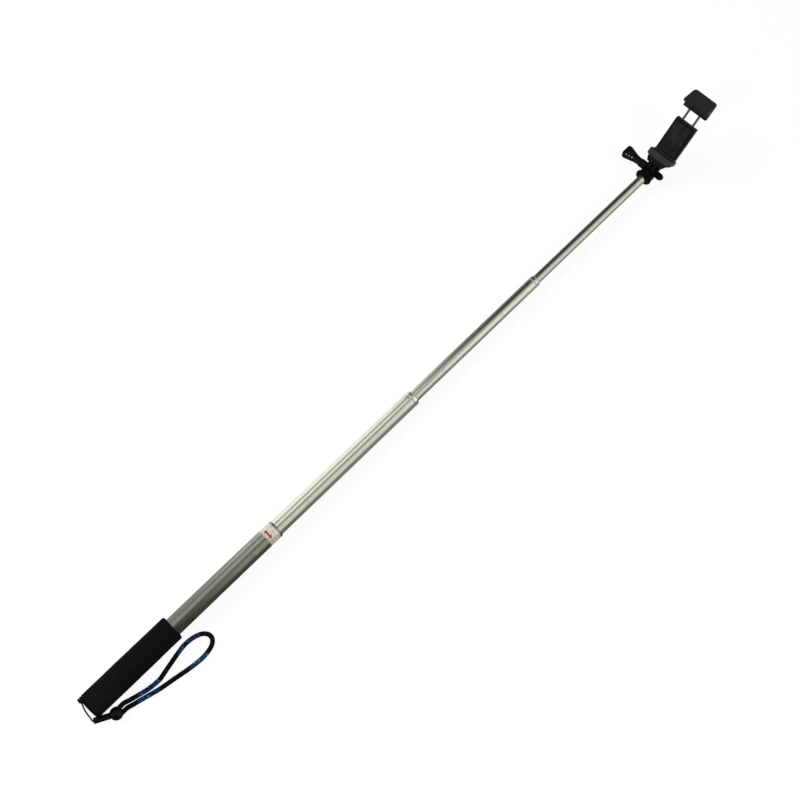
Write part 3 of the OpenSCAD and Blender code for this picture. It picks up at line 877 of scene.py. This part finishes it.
for name, width, finish, body, slot in (
    ("butt_cap", 0.0003, dull_black, "handle", "black_plastic"),
    ("cord_bead", 0.0002, satin_black, "handle", "black_plastic"),
    ("lanyard_ferrule", 0.0006, dull_black, "handle", "black_plastic"),
    ("string_knot", 0.0002, dull_black, "handle", "string"),
    ("lock_disc", 0.0003, deep_black, "stage_4", "black_plastic"),
    ("head_fork", 0.0004, deep_black, "stage_4", "black_plastic"),
    ("pivot_nut", 0.0002, dark_steel, "stage_4", "steel"),
    ("thumb_bolt", 0.0003, steel, "thumb", "steel"),
    ("thumb_handle", 0.0005, satin_black, "thumb", "black_plastic"),
    ("clip_base", 0.0004, clip_black, "clip", "black_plastic"),
    ("clip_cover", 0.0003, black, "clip", "black_plastic"),
    ("lower_pad", 0.0002, rubber, "clip", "rubber"),
    ("back_pad", 0.0001, rubber, "clip", "rubber"),
    ("upper_jaw", 0.0005, jaw_black, "jaw", "black_plastic"),
    ("upper_pad", 0.0002, rubber, "jaw", "rubber"),
    ("guide_rods", 0.0003, rod_steel, "jaw", "steel"),
    ("rod_collars", 0.0002, steel, "jaw", "steel"),
):
    softened(name, width, finish, body)

make_string()
make_cord()


# Stage
def make_floor():
    """Pale floor that the eye sees as white, with a soft shadow left in it; mirrors see it in greys
    that change along the pole and from side to side, a painted shadow.
    """
    mesh = bpy.data.meshes.new("floor")
    far = 6.0
    z = FLOOR_Z - 0.0004
    corners = [(-far, -far, z), (far, -far, z), (far, far, z), (-far, far, z)]
    mesh.from_pydata(corners, [], [(0, 1, 2, 3)])
    floor = linked("floor", mesh)
    s = finish_of("pale_floor")
    eye, glossy, clear = s.rays()
    along, side, _ = s.split(s.place())
    paper = s.node("ShaderNodeBsdfDiffuse", values={"Color": (0.9, 0.9, 0.9)})
    # Painted shadow as mirrors see the floor: greys, darker near the pole, that change along it and
    # from side to side.
    over = 0.5 + 0.48 * along.band(0.075, 0.165) - 0.78 * along.band(0.34, 0.46)
    under = 0.1 + 0.1 * along.band(0.05, 0.3) + 0.08 * along.band(0.34, 0.46)
    under = under + 0.12 * along.band(0.48, 0.6)
    shade_in_mirrors = under + side.band(-0.02, 0.05) * (over - under)
    bright = 1.0 - glossy * (1.0 - shade_in_mirrors)
    glow = s.node("ShaderNodeEmission", values={"Color": (1.0, 1.0, 1.0), "Strength": bright})
    middle = 0.35
    away = (along - middle).abs().most(side.abs()).band(0.8, 2.0)
    seen = (eye.most(clear) * (0.9 + 0.1 * away)).most(glossy)
    both = s.node("ShaderNodeMixShader", values={0: seen, 1: paper, 2: glow})
    s.node("ShaderNodeOutputMaterial", values={0: both})
    mesh.materials.append(s.owner)


# Brightness of the studio round the pole's axis as polished metal sees it: degrees from straight up
# towards the handle's side, and a grey. One list for each reach along the pole.
STUDIO_NEAR = [
    (-90, 0.03), (-75, 0.02), (-50, 0.03), (-30, 0.06), (-15, 0.25), (-4, 0.48), (8, 0.56), (20, 0.46),
    (45, 0.38), (62, 0.39), (90, 0.47),
]
STUDIO_MIDDLE = [
    (-90, 0.42), (-70, 0.6), (-48, 0.72), (-32, 0.58), (-15, 0.25), (-5, 0.32), (8, 0.75), (20, 1.0),
    (33, 0.5), (45, 0.36), (58, 0.66), (70, 1.0), (90, 1.0),
]
STUDIO_FAR = [
    (-90, 0.7), (-72, 0.95), (-52, 1.0), (-30, 0.86), (-8, 0.56), (8, 0.29), (24, 0.11), (45, 0.03),
    (60, 0.035), (76, 0.1), (90, 0.25),
]


def make_world():
    """White all round to the eye, soft on matte things, and a studio with dark flags in reflections."""
    world = bpy.data.worlds.new("studio")
    scene.world = world
    s = Shade(world)
    eye, glossy, clear = s.rays()
    x, y, z = s.split(s.node("ShaderNodeTexCoord", out=0))
    turn = s.math("ARCTAN2", y, z) / (2 * math.pi) + 0.5
    near, middle, far = (
        s.node(
            "ShaderNodeValToRGB",
            {"stops": [(angle / 360 + 0.5, (grey, grey, grey)) for angle, grey in stops]},
            {0: turn},
        )
        for stops in (STUDIO_NEAR, STUDIO_MIDDLE, STUDIO_FAR)
    )
    flags = s.mix(x.band(0.015, 0.07), near, middle)
    flags = s.mix(x.band(0.235, 0.35), flags, far)
    flags = s.mix(x.band(0.62, 0.76), flags, (0.45, 0.45, 0.45))
    tone = s.mix(glossy, (0.45, 0.45, 0.45), flags)
    tone = s.mix(eye.most(clear), tone, (1.0, 1.0, 1.0))
    sky = s.node("ShaderNodeBackground", values={"Color": tone, "Strength": 1.0})
    s.node("ShaderNodeOutputWorld", values={0: sky})


def lamp(name, place, target, size, watts):
    """A soft lamp that lights matte things and isn't seen in polished ones."""
    data = bpy.data.lights.new(name, "AREA")
    data.shape = "RECTANGLE"
    data.size, data.size_y = size
    data.energy = watts
    made = linked(name, data)
    made.location = place
    made.rotation_euler = (Vector(target) - Vector(place)).to_track_quat("-Z", "Y").to_euler()
    made.visible_glossy = False


make_floor()
make_world()
lamp("key", (0.1, 1.2, 1.5), (0.35, 0, 0), (1.4, 0.7), 26)
lamp("fill", (0.5, -1.4, 1.3), (0.35, 0, 0), (1.4, 0.9), 12)
lamp("top", (-0.9, -0.1, 1.4), (0.2, 0, 0), (0.5, 0.5), 9)
scene.view_settings.view_transform = "Standard"
